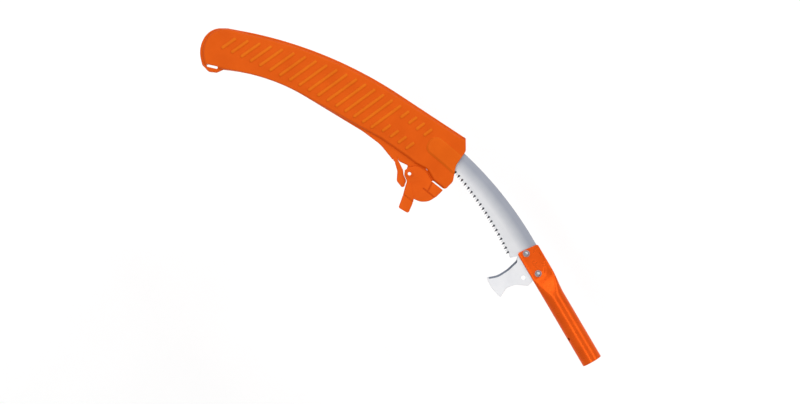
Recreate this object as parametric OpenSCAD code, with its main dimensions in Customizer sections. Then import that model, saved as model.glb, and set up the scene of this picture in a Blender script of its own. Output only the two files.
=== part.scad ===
// Pruning saw head for a telescoping pole, with its scabbard half drawn off the blade.
// The head lies flat: +X runs from the pole towards the blade, +Y is the tooth side, +Z is the front.
// The origin is the centre of the pole socket's mouth.

/* [Pole socket] */
// Outer diameter of the steel tube
tube_od = 30; // [28:0.5:32]
// Wall of the steel tube
tube_wall = 2; // [1.5:0.1:2.2]
// Length of the round part that takes the pole
tube_len = 115; // [100:1:118]
// Distance from the socket's mouth to the pole button's hole
button_x = 46; // [30:1:80]
// Diameter of the pole button's hole
button_d = 5.5; // [4:0.5:8]
// Turn of the pole button's hole from the tooth side towards the front
button_turn = 25; // [0:5:45]
// Width of the flattened end
fork_w = 33; // [32:0.5:34]
// Thickness of the flattened end, over both walls
fork_t = 8; // [8:0.2:9]

/* [Saw blade] */
// Radius of the blade's back
blade_back_r = 554; // [553:0.5:555]
// Radius of the tooth line at the heel
tooth_heel_r = 508.5; // [508:0.5:512]
// Growth of the tooth line's radius for each degree towards the tip
tooth_taper = 0.82; // [0.7:0.01:0.85]
// Thickness of the blade
blade_t = 1.8; // [1.5:0.1:1.8]
// Tooth pitch
tooth_pitch = 3.7; // [3:0.1:5]
// Tooth depth
tooth_depth = 2.8; // [2:0.1:3.5]
// Angle of the blade's tip, seen from the centre of its arc
tip_angle = 36; // [33:0.5:36]

/* [Sickle] */
// Thickness of the sickle plate
sickle_t = 2; // [1.5:0.1:2]
// Diameter of the hole in the sickle plate
sickle_hole_d = 6.5; // [4:0.5:8]

/* [Clamp screws] */
// Diameter of the screws
screw_d = 5; // [4:0.5:5]
// Diameter of a screw head
head_d = 8.8; // [8:0.2:9.6]
// Height of a screw head
head_h = 2.9; // [2:0.1:3]
// Width of a lock nut across its flats
nut_flats = 8; // [7:0.5:9]

/* [Scabbard] */
// Half thickness of the scabbard's ribbed body, without its ribs
body_half = 8.5; // [8:0.1:9]
// Half thickness of the flat flange and of the pivot lug
flange_half = 4; // [3.8:0.1:4.1]
// Half height of the space inside
cavity_half = 5.5; // [5:0.1:6]
// Height of the ribs
rib_h = 1.2; // [0.8:0.1:2]
// Width of a rib
rib_w = 4.5; // [3:0.1:6]
// Front face of the channel that clears the screw heads
channel_front = 11; // [10.6:0.1:12]
// Rear face of the channel that clears the nuts
channel_rear = 15; // [14.5:0.1:15]

/* [Latch] */
// Half gap between the two latch cheeks
cheek_in = 4.3; // [4.2:0.1:4.5]
// Thickness of a latch cheek
cheek_t = 3.2; // [2.5:0.1:4]
// Gap between the latch and the scabbard's edge, along Y
latch_gap = 2.3; // [1.5:0.1:3]
// Bore of the pivot eyelet
eyelet_bore = 5; // [4:0.5:5.5]
// Outer diameter of the pivot eyelet
eyelet_od = 7; // [6.5:0.5:7]

/* [Hidden] */
$fn = 64;

// The blade, the scabbard's space and the sliding motion all share this arc centre.
arc_c = [199, 538];
// The two clamp screws, in the fork's middle.
front_screw = [185.4, 3.5];
rear_screw = [151.3, 3.3];
// The fork's slot holds the sickle plate behind the blade.
fork_half = fork_t / 2;
fork_low_y = -18;
fork_high_y = fork_low_y + fork_w;
fork_start = 145;
fork_end = 192.5;
slit_start = 141;
// Scabbard: how far it goes on, and where the space inside ends.
sheathed_turn = 21.5;
space_end_angle = 58;
back_clearance = 7;
tooth_clearance = 4;
rim = 2.5;
top_c = [205, 610];
top_r = 628;
channel_r = 534.5;
channel_width = 19;
channel_wall = 5;
channel_end_angle = 21.7;
// Latch: pivot, pivot lug and the arc that the sickle never crosses.
pivot = [373.5, 92];
lug_r = 7.5;
sickle_low_r = 464;
pad_gap = 0.6;
run_fit = 0.05;
// Leaf spring: hinge point at the root, and the round root's radius.
root = [402, 98.5];
root_r = 3.6;
root_gap = 0.3;

washer_t = 1;
washer_od = 10;
nut_h = 5;
nut_collar_h = 1.5;
hex_socket = 3.5;
screw_tip = 1.3;
eps = 0.01;
orange = [0.89, 0.36, 0.08];
red_orange = [0.92, 0.33, 0.08];
steel = [0.8, 0.81, 0.82];

// A point at a radius and an angle from the blade's arc centre.
function arc_point(r, a) = arc_c + r * [sin(a), -cos(a)];
function tooth_r(a) = tooth_heel_r + tooth_taper * a;
function top_point(r, a) = top_c + r * [sin(a), -cos(a)];
function unit(v) = v / norm(v);

// The arc that rounds corner b between its neighbours a and c.
function corner(a, b, c, r) = r <= 0 ? [b] :
    let (u = unit(a - b), v = unit(c - b), half = acos(u * v) / 2)
    let (mid = b + unit(u + v) * r / sin(half), start = b + u * r / tan(half) - mid)
    let (turn = (180 - 2 * half) * (cross(u, v) < 0 ? 1 : -1), from = atan2(start.y, start.x))
    let (steps = max(2, ceil(abs(turn) / 15), ceil(abs(turn) * r / 900)))
    [for (i = [0:steps]) mid + r * [cos(from + turn * i / steps), sin(from + turn * i / steps)]];
function xy(p) = [p[0], p[1]];
function sharp(points) = [for (p = points) [p.x, p.y, 0]];
// A closed outline from [x, y, corner radius] points.
function rounded(p) = let (n = len(p))
    [for (i = [0:n - 1]) each corner(xy(p[(i + n - 1) % n]), xy(p[i]), xy(p[(i + 1) % n]), p[i][2])];

module slab(low, high) {
    translate([0, 0, low])
        linear_extrude(high - low) children();
}

module at(p, z = 0) {
    translate([p.x, p.y, z]) children();
}

// ---- head ----

module along_x(x) {
    translate([x, 0, 0]) rotate([0, 90, 0]) children();
}

// A thin slice across X, from a flat outline in Y and Z.
module slice(x, w, h, mid_y, r) {
    translate([x, mid_y, 0]) rotate([90, 0, 90])
        linear_extrude(0.2)
            hull() {
                for (y = [-1, 1]) {
                    translate([y * (w / 2 - r), 0]) circle(r = r, $fn = 32);
                    translate([y * (w / 2 - r), h / 2 - r]) circle(r = r, $fn = 32);
                    translate([y * (w / 2 - r), r - h / 2]) circle(r = r, $fn = 32);
                }
            }
}

module fork_outline() {
    polygon(rounded([
        [fork_start - 1, fork_low_y, 0], [fork_end - 3.5, fork_low_y, 4],
        [fork_end, fork_high_y, 4], [fork_start - 1, fork_high_y, 0]]));
}

module pole_socket() {
    mid_y = (fork_low_y + fork_high_y) / 2;
    slot_t = blade_t + sickle_t;
    color(red_orange)
        difference() {
            union() {
                along_x(0) cylinder(d = tube_od, h = tube_len);
                hull() {
                    along_x(tube_len - 0.5) cylinder(d = tube_od - 0.1, h = 0.2, $fn = 32);
                    slice(fork_start + 0.3, fork_w - 0.1, fork_t - 0.1, mid_y, 2);
                }
                slab(-fork_half, fork_half) fork_outline();
            }
            along_x(-1) cylinder(d = tube_od - 2 * tube_wall, h = tube_len - 1);
            hull() {
                along_x(tube_len - 3) cylinder(d = tube_od - 2 * tube_wall - 0.1, h = 0.2, $fn = 32);
                slice(fork_start + 1, fork_w - 2 * tube_wall - 0.1, slot_t - 0.1, mid_y, 0.5);
            }
            slab(-sickle_t, blade_t)
                translate([slit_start, fork_low_y + tube_wall]) square([60, fork_w]);
            for (p = [front_screw, rear_screw])
                at(p, -10) cylinder(d = screw_d + 0.2, h = 20);
            translate([button_x, 0, 0]) rotate([button_turn - 90, 0, 0]) cylinder(d = button_d, h = tube_od);
        }
}

module saw_blade() {
    heel = 0;
    teeth_end = tip_angle - 0.5;
    count = floor((teeth_end - heel) * PI / 180 * tooth_r(tip_angle / 2) / tooth_pitch);
    step = (teeth_end - heel) / count;
    tip_run = 2.6;
    tip_r = tooth_r(teeth_end);
    teeth = [for (i = [0:count - 1]) each [
        arc_point(tooth_r(heel + i * step) + tooth_depth, heel + i * step),
        arc_point(tooth_r(heel + (i + 0.4) * step), heel + (i + 0.4) * step)]];
    nose = [for (i = [0:8]) arc_point(tip_r + (blade_back_r - tip_r) * sin(i * 11.25),
        tip_angle - tip_run * (1 - cos(i * 11.25)))];
    back = [for (a = [tip_angle - tip_run - 1:-1:-4]) arc_point(blade_back_r, a)];
    color(steel)
        difference() {
            slab(0, blade_t)
                polygon(rounded(concat(sharp(teeth), sharp(nose), sharp(back), [
                    [151, -13.5, 4], [143, 3, 6], [152, 12.5, 6], [187, 12.5, 3], [192, 27, 1]])));
            for (p = [front_screw, rear_screw])
                at(p, -1) cylinder(d = screw_d + 0.2, h = 5);
        }
}

module sickle_plate() {
    outline = rounded([
        [144, -5, 5], [190, -5, 5], [189.5, 15, 4], [183.6, 22, 6], [179.6, 40, 30], [179.2, 56, 25],
        [184.6, 71.6, 0.6], [168, 73.3, 40], [149.3, 68.6, 0.8], [156.5, 54, 9], [154, 40, 22],
        [143, 25, 4], [146, 14, 3]]);
    color(steel)
        difference() {
            slab(-sickle_t, 0) polygon(outline);
            for (p = [front_screw, rear_screw])
                at(p, -3) cylinder(d = screw_d + 0.2, h = 5);
            at([157, 25], -3) cylinder(d = sickle_hole_d, h = 5);
        }
}

// A button-head screw: shank, domed head and hexagon socket.
module clamp_screw(p) {
    low = fork_half + washer_t + nut_h + screw_tip;
    seat = fork_half + washer_t;
    dome_r = (pow(head_d / 2, 2) + pow(head_h, 2)) / (2 * head_h);
    color(steel)
        at(p)
            difference() {
                union() {
                    translate([0, 0, -low]) cylinder(d = screw_d, h = low + seat + eps);
                    intersection() {
                        translate([0, 0, seat]) cylinder(d = head_d, h = head_h);
                        translate([0, 0, seat + head_h - dome_r]) sphere(r = dome_r);
                    }
                }
                translate([0, 0, seat + 1]) cylinder(d = hex_socket, h = 5, $fn = 6);
            }
}

// A flat washer whose lower face is at height z.
module washer(p, z) {
    color(steel)
        at(p, z)
            difference() {
                cylinder(d = washer_od, h = washer_t);
                translate([0, 0, -1]) cylinder(d = screw_d + 0.3, h = 3);
            }
}

module lock_nut(p) {
    color(steel)
        at(p, -fork_half - washer_t - nut_h)
            difference() {
                union() {
                    translate([0, 0, nut_collar_h])
                        cylinder(d = nut_flats / cos(30), h = nut_h - nut_collar_h, $fn = 6);
                    cylinder(d = nut_flats - 0.6, h = nut_collar_h + 0.1);
                }
                translate([0, 0, -1]) cylinder(d = screw_d, h = nut_h + 2);
            }
}

// ---- scabbard ----

mouth = [[376.5, -5.5, 2], [360, 4, 7], [349.5, 27, 12], [331, 43, 9], [326.8, 59.2, 5]];
tip_end = [[665.5, 273.5, 5], [691, 265.5, 41], [706, 235.5, 28.5], [692.5, 213.5, 0]];
top_edge = [for (a = [48:-3:26]) [top_point(top_r, a).x, top_point(top_r, a).y, 0]];

// The raised, ribbed body.
module body_outline() {
    polygon(rounded(concat(mouth, [
        [347, 67, 5], [366, 67, 12], [381, 76.5, 10], [396.5, 82.8, 4], [439, 102.3, 20],
        [468, 120, 40], [604.8, 200.5, 330], [640, 247, 30]],
        [for (p = tip_end) [p[0] - rim, p[1] - 1.2 * rim, p[2]]],
        [for (p = top_edge) [p[0] - 1, p[1] + rim, 0]])));
}

// The whole outline, with the flat flange beside the latch.
module flange_outline() {
    polygon(rounded(concat(mouth, [
        [347, 67, 3], [349, 75, 3], [364, 79.7, 3], [366.7, 90, 0], [380.3, 94, 0], [385, 87.8, 2],
        [396.5, 95.5, 0], [401, 96, 0], [404.5, 103, 1], [432, 107, 60], [462, 119.6, 60],
        [604.8, 196.7, 280], [643.8, 250.5, 0], [645, 261, 4], [652, 270.5, 6]],
        tip_end, top_edge)));
}

// The space that the blade slides in, from the mouth to the tip.
module space_outline() {
    lower = [for (a = [24:2:space_end_angle]) arc_point(tooth_r(a - sheathed_turn) - tooth_clearance, a)];
    upper = [for (a = [space_end_angle:-2:26]) arc_point(blade_back_r + back_clearance
        + max(0, a - 34) * 0.75, a)];
    polygon(concat(
        [arc_point(500, 12), arc_point(500, 20.3), arc_point(504, 21.6)], lower, upper,
        [arc_point(blade_back_r + back_clearance, 22), arc_point(blade_back_r + back_clearance, 17),
        arc_point(blade_back_r + back_clearance, 12)]));
}

// The pocket that lets the sickle pass through the lower edge of the mouth.
module pocket_outline() {
    polygon([arc_point(450, 10), arc_point(450, 20), arc_point(502, 20.3), arc_point(502, 10)]);
}

module channel_outline(grow) {
    half = channel_width / 2 + grow;
    inner = [for (a = [10:2:18]) arc_point(channel_r - half, a)];
    outer = [for (a = [18:-2:10]) arc_point(channel_r + half, a)];
    end_a = channel_end_angle + grow / 10;
    near = arc_point(channel_r - half, end_a);
    far = arc_point(channel_r + half, end_a);
    polygon(rounded(concat(sharp(inner), [[near.x, near.y, half * 0.9], [far.x, far.y, half * 0.9]],
        sharp(outer))));
}

// A bar of a given width with round ends, from a to b.
module bar_outline(a, b, width) {
    along = unit(b - a) * width / 2;
    side = [-along.y, along.x];
    ends = [a - along + side, a - along - side, b + along - side, b + along + side];
    polygon(rounded([for (p = ends) [p.x, p.y, width * 0.49]]));
}

// The slotted eye at the tip, to hang the tool up by.
module eye_outline() {
    bar_outline([651.4, 257.2], [660.6, 266.8], 3.8);
}

// A point at a given x on a circle around the top arc's centre.
function rib_end(x, r) = [x, top_c.y - sqrt(r * r - pow(x - top_c.x, 2))];

// Full ribs that shorten towards the tip, and short pairs beside the latch. All lean the same way.
module rib_outlines() {
    first = 461;
    pitch = 13.25;
    top = 614;
    foot = 571;
    lean = 4.7;
    function leaning(x, r) = rib_end(x + lean * (r - foot) / (top - foot), r);
    for (i = [0:16])
        let (x = first + i * pitch - 1.1 * max(0, i - 12))
            bar_outline(leaning(x, top), leaning(x, 566 + 0.13 * i * i), rib_w);
    for (i = [1:4])
        let (x = first - i * pitch) {
            bar_outline(leaning(x, top), leaning(x, top - 11), rib_w);
            bar_outline(leaning(x, foot + 11), leaning(x, foot), rib_w);
        }
}

// One shell, for z above 0: the channel's outer face and inner depth are its own.
module shell(channel_top, channel_deep) {
    difference() {
        union() {
            slab(0, flange_half) {
                flange_outline();
                body_outline();
                at(pivot) circle(r = lug_r);
            }
            slab(flange_half, body_half) body_outline();
            slab(body_half, channel_top)
                intersection() {
                    channel_outline(channel_wall);
                    body_outline();
                }
            slab(body_half - 1, body_half + rib_h) rib_outlines();
        }
        slab(-1, cavity_half) space_outline();
        slab(-1, flange_half - 1) pocket_outline();
        slab(-1, channel_deep) channel_outline(0);
        slab(-1, 20) eye_outline();
        at(pivot, -1) cylinder(d = eyelet_od, h = 10);
        at(root, -1) cylinder(r = root_r + root_gap, h = 10);
    }
}

module scabbard_front_shell() {
    color(orange)
        shell(channel_front, fork_half + washer_t + head_h + 0.7);
}

module scabbard_rear_shell() {
    color(orange)
        mirror([0, 0, 1])
            shell(channel_rear, fork_half + washer_t + nut_h + screw_tip + 0.7);
}

// ---- latch ----

// The flanged tube that the latch turns on.
module pivot_eyelet() {
    top = cheek_in + cheek_t + 0.1;
    flange_t = 0.8;
    profile = [[eyelet_bore / 2, -top - flange_t], [eyelet_od / 2 + 1.8, -top - flange_t],
        [eyelet_od / 2 + 1.8, -top], [eyelet_od / 2, -top], [eyelet_od / 2, top],
        [eyelet_od / 2 + 1.8, top], [eyelet_od / 2 + 1.8, top + flange_t],
        [eyelet_bore / 2, top + flange_t]];
    color(orange)
        at(pivot) rotate_extrude() polygon(profile);
}

// Nose, round cheek, tab and pivot eye, in order around the latch.
nose_side = [[327.6, 61.8, 1.5], [324.4, 74.6, 2], [323.9, 88.8, 20], [330.2, 99.7, 20], [338.3, 105.4, 0]];
tab_side = [[333, 110.8, 6], [324, 123, 3], [338.8, 131.2, 3], [352.4, 115, 0]];
eye_side = [[358, 109.5, 5], [366, 100.6, 5], [376, 99.6, 5], [381.6, 95, 3], [382, 86.5, 5],
    [377.5, 76.6, 8], [365, 67 + latch_gap, 9], [347, 67 + latch_gap, 4]];

// A cheek, for z above 0. The nose pad reaches in to a depth of its own.
module latch_cheek(pad_depth) {
    difference() {
        union() {
            slab(cheek_in, cheek_in + cheek_t)
                polygon(rounded(concat(nose_side, [[335, 108.2, 0], [352.2, 114.6, 0]], eye_side)));
            slab(pad_depth, cheek_in + eps)
                polygon([[328.3, 62.8], [325.4, 74], [339.8, 79], [344, 69.3]]);
        }
        at(pivot, 0) cylinder(d = eyelet_od + 2 * run_fit, h = 20);
    }
}

module latch_front_cheek() {
    color(orange) latch_cheek(pad_gap);
}

module latch_rear_cheek() {
    color(orange) mirror([0, 0, 1]) latch_cheek(sickle_t + pad_gap);
}

// The thumb tab and the core that ties both cheeks together, outside the sickle's path.
module latch_thumb_lever() {
    color(orange) {
        slab(-cheek_in, cheek_in)
            intersection() {
                polygon(rounded(concat(nose_side, tab_side, eye_side)));
                at(arc_c) circle(r = sickle_low_r, $fn = 400);
            }
        for (side = [0, 1])
            mirror([0, 0, side])
                slab(cheek_in - eps, cheek_in + cheek_t)
                    polygon(rounded(concat([[335.2, 108.8, 0]], tab_side)));
    }
}

module latch_spring_arm() {
    color(orange)
        slab(-flange_half + 0.2, flange_half - 0.2) {
            at(root) circle(r = root_r);
            polygon(rounded([
                [399.5, 96.2, 0], [400.2, 101.6, 0], [396, 102.8, 20], [386, 105.4, 6], [374, 113.5, 6],
                [358.5, 111.5, 3], [367, 101.2, 5], [376.5, 100.2, 3], [383, 97.2, 4]]));
        }
}

pole_socket();
saw_blade();
sickle_plate();
clamp_screw(front_screw);  // front_clamp_screw
clamp_screw(rear_screw);  // rear_clamp_screw
washer(front_screw, fork_half);  // front_head_washer
washer(rear_screw, fork_half);  // rear_head_washer
washer(front_screw, -fork_half - washer_t);  // front_nut_washer
washer(rear_screw, -fork_half - washer_t);  // rear_nut_washer
lock_nut(front_screw);  // front_lock_nut
lock_nut(rear_screw);  // rear_lock_nut
scabbard_front_shell();
scabbard_rear_shell();
pivot_eyelet();
latch_front_cheek();
latch_rear_cheek();
latch_thumb_lever();
latch_spring_arm();
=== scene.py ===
"""A pruning saw head on its pole socket, with the ribbed scabbard half drawn off the blade.

Outlines are in millimetres in the frame's own axes and repeat the CAD's; meshes are in metres.
"""

from math import acos, atan2, ceil, cos, floor, pi, radians, sin, sqrt, tan

import bmesh
import bpy
import numpy as np
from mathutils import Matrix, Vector
from mathutils.geometry import delaunay_2d_cdt
from mathutils.kdtree import KDTree


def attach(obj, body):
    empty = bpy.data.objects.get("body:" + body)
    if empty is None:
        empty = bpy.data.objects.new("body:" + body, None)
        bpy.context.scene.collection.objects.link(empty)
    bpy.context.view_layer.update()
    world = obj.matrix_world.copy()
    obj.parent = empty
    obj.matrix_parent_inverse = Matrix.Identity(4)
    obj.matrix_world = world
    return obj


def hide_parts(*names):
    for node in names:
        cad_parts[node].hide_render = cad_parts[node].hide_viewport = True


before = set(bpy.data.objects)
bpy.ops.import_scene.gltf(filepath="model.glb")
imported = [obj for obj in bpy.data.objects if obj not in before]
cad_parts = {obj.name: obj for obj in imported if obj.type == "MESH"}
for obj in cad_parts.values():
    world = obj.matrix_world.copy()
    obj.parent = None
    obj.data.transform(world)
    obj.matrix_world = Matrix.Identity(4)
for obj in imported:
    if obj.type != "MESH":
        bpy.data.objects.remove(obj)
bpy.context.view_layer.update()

MM = 0.001

# The arc centre that the blade, the scabbard's space and the sliding motion share.
ARC = np.array([199.0, 538.0])
# The radius of the blade's back about that centre.
BACK_R = 554.0
# The two clamp screws, and their holes in the socket, blade and sickle.
FRONT_SCREW = np.array([185.4, 3.5])
REAR_SCREW = np.array([151.3, 3.3])
SCREW_HOLE_R = 2.6
# The latch's eyelet, and the spring arm's root in the scabbard's flange.
PIVOT = np.array([373.5, 92.0])
ROOT = np.array([402.0, 98.5])


# ---- plane geometry ----

def arc_point(r, angle):
    """The point at a radius and an angle in degrees from the blade's arc centre."""
    a = radians(angle)
    return ARC + r * np.array([sin(a), -cos(a)])


def corner(a, b, c, r):
    """Corner b between its neighbours a and c, rounded to radius r."""
    if r <= 0:
        return np.array([b])
    u = (a - b) / np.linalg.norm(a - b)
    v = (c - b) / np.linalg.norm(c - b)
    half = acos(float(np.clip(u @ v, -1, 1))) / 2
    mid = b + (u + v) / np.linalg.norm(u + v) * r / sin(half)
    start = b + u * r / tan(half) - mid
    turn = (pi - 2 * half) * (1 if u[0] * v[1] - u[1] * v[0] < 0 else -1)
    least, widest_turn, longest = 3, radians(9), 3
    steps = max(least, ceil(abs(turn) / widest_turn), ceil(abs(turn) * r / longest))
    angles = atan2(start[1], start[0]) + turn * np.arange(steps + 1) / steps
    return mid + r * np.stack([np.cos(angles), np.sin(angles)], 1)


def rounded_parts(points):
    """One array of points for each corner of a closed outline of (x, y, corner radius) points."""
    xy = [np.array(p[:2], float) for p in points]
    n = len(points)
    return [corner(xy[i - 1], xy[i], xy[(i + 1) % n], points[i][2]) for i in range(n)]


def counter_clockwise(loop):
    """The loop itself if it runs counter-clockwise, or else a reversed copy."""
    x, y = loop[:, 0], loop[:, 1]
    area = np.sum(x * np.roll(y, -1) - y * np.roll(x, -1))
    return loop if area > 0 else loop[::-1].copy()


def rounded(points):
    """A closed outline from (x, y, corner radius) points."""
    return counter_clockwise(np.concatenate(rounded_parts(points)))


def split(path, pitch, closed=True):
    """The same outline with its long edges cut into pieces no longer than the pitch."""
    ends = np.roll(path, -1, 0) if closed else path[1:]
    out = []
    for a, b in zip(path, ends):
        n = max(1, ceil(np.linalg.norm(b - a) / pitch))
        out.extend(a + (b - a) * k / n for k in range(n))
    if not closed:
        out.append(path[-1])
    return np.array(out)


def normals(loop):
    """The inward mitre vector at each point of a counter-clockwise loop, limited at sharp corners."""
    before = loop - np.roll(loop, 1, 0)
    after = np.roll(loop, -1, 0) - loop
    before /= np.linalg.norm(before, axis=1)[:, None]
    after /= np.linalg.norm(after, axis=1)[:, None]
    left = np.stack([-(before[:, 1] + after[:, 1]), before[:, 0] + after[:, 0]], 1)
    share = 1 + np.sum(before * after, 1)
    return left / np.maximum(share, 0.5)[:, None]


def inset(loop, depth):
    """The loop moved inwards by a depth, or by one depth for each point."""
    return loop + normals(loop) * np.reshape(depth, (-1, 1))


def distance(points, path, closed=False):
    """The distance of each point from a path."""
    if closed:
        path = np.concatenate([path, path[:1]])
    a, ab = path[:-1], path[1:] - path[:-1]
    length2 = np.maximum(np.sum(ab * ab, 1), 1e-12)
    out = np.empty(len(points))
    chunk = 1500
    for s in range(0, len(points), chunk):
        q = points[s:s + chunk, None, :] - a
        t = np.clip(np.sum(q * ab, 2) / length2, 0, 1)
        out[s:s + chunk] = np.linalg.norm(q - t[..., None] * ab, axis=2).min(1)
    return out


def inside(points, loop):
    """True for each point that lies inside a closed loop."""
    x, y = points[:, 0, None], points[:, 1, None]
    ax, ay = loop[:, 0], loop[:, 1]
    bx, by = np.roll(ax, -1), np.roll(ay, -1)
    spans = (ay > y) != (by > y)
    rise = np.where(by == ay, 1e-12, by - ay)
    return np.sum(spans & (x < ax + (y - ay) * (bx - ax) / rise), 1) % 2 == 1


def circle(centre, r):
    steps = 48
    a = np.arange(steps) * 2 * pi / steps
    return centre + r * np.stack([np.cos(a), np.sin(a)], 1)


def bar(a, b, width, steps=10):
    """The outline of a bar with round ends, from a to b."""
    a, b = np.array(a, float), np.array(b, float)
    along = atan2(b[1] - a[1], b[0] - a[0])
    ends = [(b, along - pi / 2), (a, along + pi / 2)]
    return np.array([p + width / 2 * np.array([cos(s + pi * k / steps), sin(s + pi * k / steps)])
                     for p, s in ends for k in range(steps + 1)])


def smooth(t):
    """A rise from 0 to 1 that is level at both ends."""
    t = np.clip(t, 0, 1)
    return t * t * (3 - 2 * t)


def quarter(t):
    """A rounded edge's rise from 0 to 1, steep at first and level at the end."""
    return np.sin(np.clip(t, 0, 1) * pi / 2)


# ---- meshes ----

class Solid:
    """Points in millimetres and faces, each with the index of its material."""

    def __init__(self):
        self.points, self.faces, self.marks = [], [], []

    def add(self, xy, z):
        """Adds points, and gives their indices."""
        start = len(self.points)
        z = np.broadcast_to(z, len(xy))
        self.points.extend((p[0], p[1], h) for p, h in zip(xy, z))
        return list(range(start, len(self.points)))

    def face(self, corners, mark=0):
        self.faces.append(tuple(corners))
        self.marks.append(mark)

    def band(self, low, high, marks=None):
        """Quads between two closed rings with as many points each."""
        n = len(low)
        for i in range(n):
            j = (i + 1) % n
            self.face((low[i], low[j], high[j], high[i]), 0 if marks is None else marks[i])

    def cap(self, ring, inner=(), height=None, creases=()):
        """Triangles inside a ring of indices, with more points inside at a height of their own.

        A crease is a pair of neighbours among the inner points that an edge must join."""
        xy = np.array([self.points[i][:2] for i in ring])
        n = len(xy)
        every = np.concatenate([xy, np.array(inner).reshape(-1, 2)])
        edges = [(i, (i + 1) % n) for i in range(n)] + [(n + a, n + b) for a, b in creases]
        closeness = 1e-5
        out, _, tris, old, _, _ = delaunay_2d_cdt([Vector(p) for p in every], edges, [], 0, closeness, True)
        out = np.array([tuple(p) for p in out])
        index = [-1] * len(out)
        for new, before in enumerate(old):
            first = [o for o in before if o < n]
            if first:
                index[new] = ring[first[0]]
        loose = [k for k in range(len(out)) if index[k] < 0]
        if loose:
            made = self.add(out[loose], height(out[loose]))
            for k, i in zip(loose, made):
                index[k] = i
        place = {o: new for new, before in enumerate(old) for o in before}
        for t in inner_triangles(tris, [place[i] for i in range(n)], xy):
            self.face([index[k] for k in t])


def inner_triangles(tris, ring, xy):
    """The triangles on the inner side of a ring, found by walking out from its edges."""
    if counter_clockwise(xy) is not xy:
        ring = ring[::-1]
    border = set(zip(ring, ring[1:] + ring[:1]))
    owner = {(t[k], t[(k + 1) % 3]): t for t in map(tuple, tris) for k in range(3)}
    kept = {owner[e] for e in border if e in owner}
    waiting = list(kept)
    while waiting:
        t = waiting.pop()
        for k in range(3):
            edge = (t[k], t[(k + 1) % 3])
            beside = owner.get(edge[::-1])
            if edge not in border and beside and beside not in kept:
                kept.add(beside)
                waiting.append(beside)
    return sorted(kept)


def tidy_mesh(mesh):
    """Joins doubled points and turns every face outwards."""
    joined = 2e-7
    work = bmesh.new()
    work.from_mesh(mesh)
    bmesh.ops.remove_doubles(work, verts=work.verts, dist=joined)
    bmesh.ops.recalc_face_normals(work, faces=work.faces)
    work.to_mesh(mesh)
    work.free()


def linked(name, data):
    """A new object in the scene."""
    obj = bpy.data.objects.new(name, data)
    bpy.context.scene.collection.objects.link(obj)
    return obj


def new_object(name, solid):
    """An object from a solid, in metres."""
    mesh = bpy.data.meshes.new(name)
    mesh.from_pydata([(x * MM, y * MM, z * MM) for x, y, z in solid.points], [], solid.faces)
    mesh.polygons.foreach_set("material_index", solid.marks)
    tidy_mesh(mesh)
    return linked(name, mesh)


def combine(obj, others, operation="DIFFERENCE"):
    """Cuts the other objects out of this one, or joins them to it, and deletes them."""
    for other in others:
        change = obj.modifiers.new("change", "BOOLEAN")
        change.operation, change.solver, change.object = operation, "MANIFOLD", other
        bpy.context.view_layer.update()
        done = obj.evaluated_get(bpy.context.evaluated_depsgraph_get())
        made = bpy.data.meshes.new_from_object(done)
        obj.modifiers.clear()
        old, obj.data = obj.data, made
        bpy.data.meshes.remove(old)
        bpy.data.objects.remove(other)


def prism(loop, low, high):
    """A plain cutter: an outline between two heights."""
    solid = Solid()
    loop = counter_clockwise(loop)
    bottom, top = solid.add(loop, low), solid.add(loop, high)
    solid.band(bottom, top)
    solid.cap(bottom)
    solid.cap(top)
    return new_object("cutter", solid)


def plate(name, loop, low, high, low_r, high_r, pitch=4.0):
    """An outline between two heights, with its two edges rounded."""
    loop = split(counter_clockwise(loop), pitch)
    steps = 4
    rings = [(inset(loop, low_r * (1 - sin(t))), low + low_r * (1 - cos(t)))
             for t in np.linspace(0, pi / 2, steps)]
    rings += [(inset(loop, high_r * (1 - cos(t))), high - high_r * (1 - sin(t)))
              for t in np.linspace(0, pi / 2, steps)]
    solid = Solid()
    made = [solid.add(xy, z) for xy, z in rings]
    for below, above in zip(made, made[1:]):
        solid.band(below, above)
    solid.cap(made[0])
    solid.cap(made[-1])
    return new_object(name, solid)


def lathe(name, centre, profile, closed=True, marks=None):
    """Turns (radius, height) points about an upright axis. A radius may be a function of the angle."""
    steps = 72
    solid = Solid()
    angles = np.arange(steps) * 2 * pi / steps
    rings = []
    for r, z in profile:
        if not callable(r) and r == 0:
            rings.append(solid.add([centre], z) * steps)
            continue
        radii = np.array([r(a) for a in angles]) if callable(r) else np.full(steps, r)
        around = centre + radii[:, None] * np.stack([np.cos(angles), np.sin(angles)], 1)
        rings.append(solid.add(around, z))
    after = rings[1:] + (rings[:1] if closed else [])
    for k, (a, b) in enumerate(zip(rings, after)):
        mark = marks[k] if marks else 0
        for i in range(steps):
            j = (i + 1) % steps
            solid.face(dict.fromkeys((a[i], a[j], b[j], b[i])), mark)
    return new_object(name, solid)


def hexagon(apothem, limit=99.0):
    """The radius of a hexagon at an angle, cut off at a limit."""
    def radius(a):
        turn = (a + pi / 6) % (pi / 3) - pi / 6
        return min(apothem / cos(turn), limit)
    return radius


def finish_piece(obj, name, node, body, materials, sharp=32):
    """Names, shades and dresses a piece, hides its node's CAD part and ties it to its body."""
    obj.name = name
    obj.data.name = name
    marks = [min(p.material_index, len(materials) - 1) for p in obj.data.polygons]
    obj.data.materials.clear()
    for material in materials:
        obj.data.materials.append(material)
    obj.data.polygons.foreach_set("material_index", marks)
    tidy_mesh(obj.data)
    obj.data.polygons.foreach_set("use_smooth", [True] * len(obj.data.polygons))
    obj.data.set_sharp_from_angle(angle=radians(sharp))
    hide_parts(node)
    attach(obj, body)


# ---- materials ----

# The tint of a highlight on orange paint or plastic.
ORANGE_SHEEN = (1.0, 0.5, 0.15, 1)


def new_material(name):
    """(material, its node tree, its shader)."""
    material = bpy.data.materials.new(name)
    material.use_nodes = True
    return material, material.node_tree, material.node_tree.nodes["Principled BSDF"]


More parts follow.
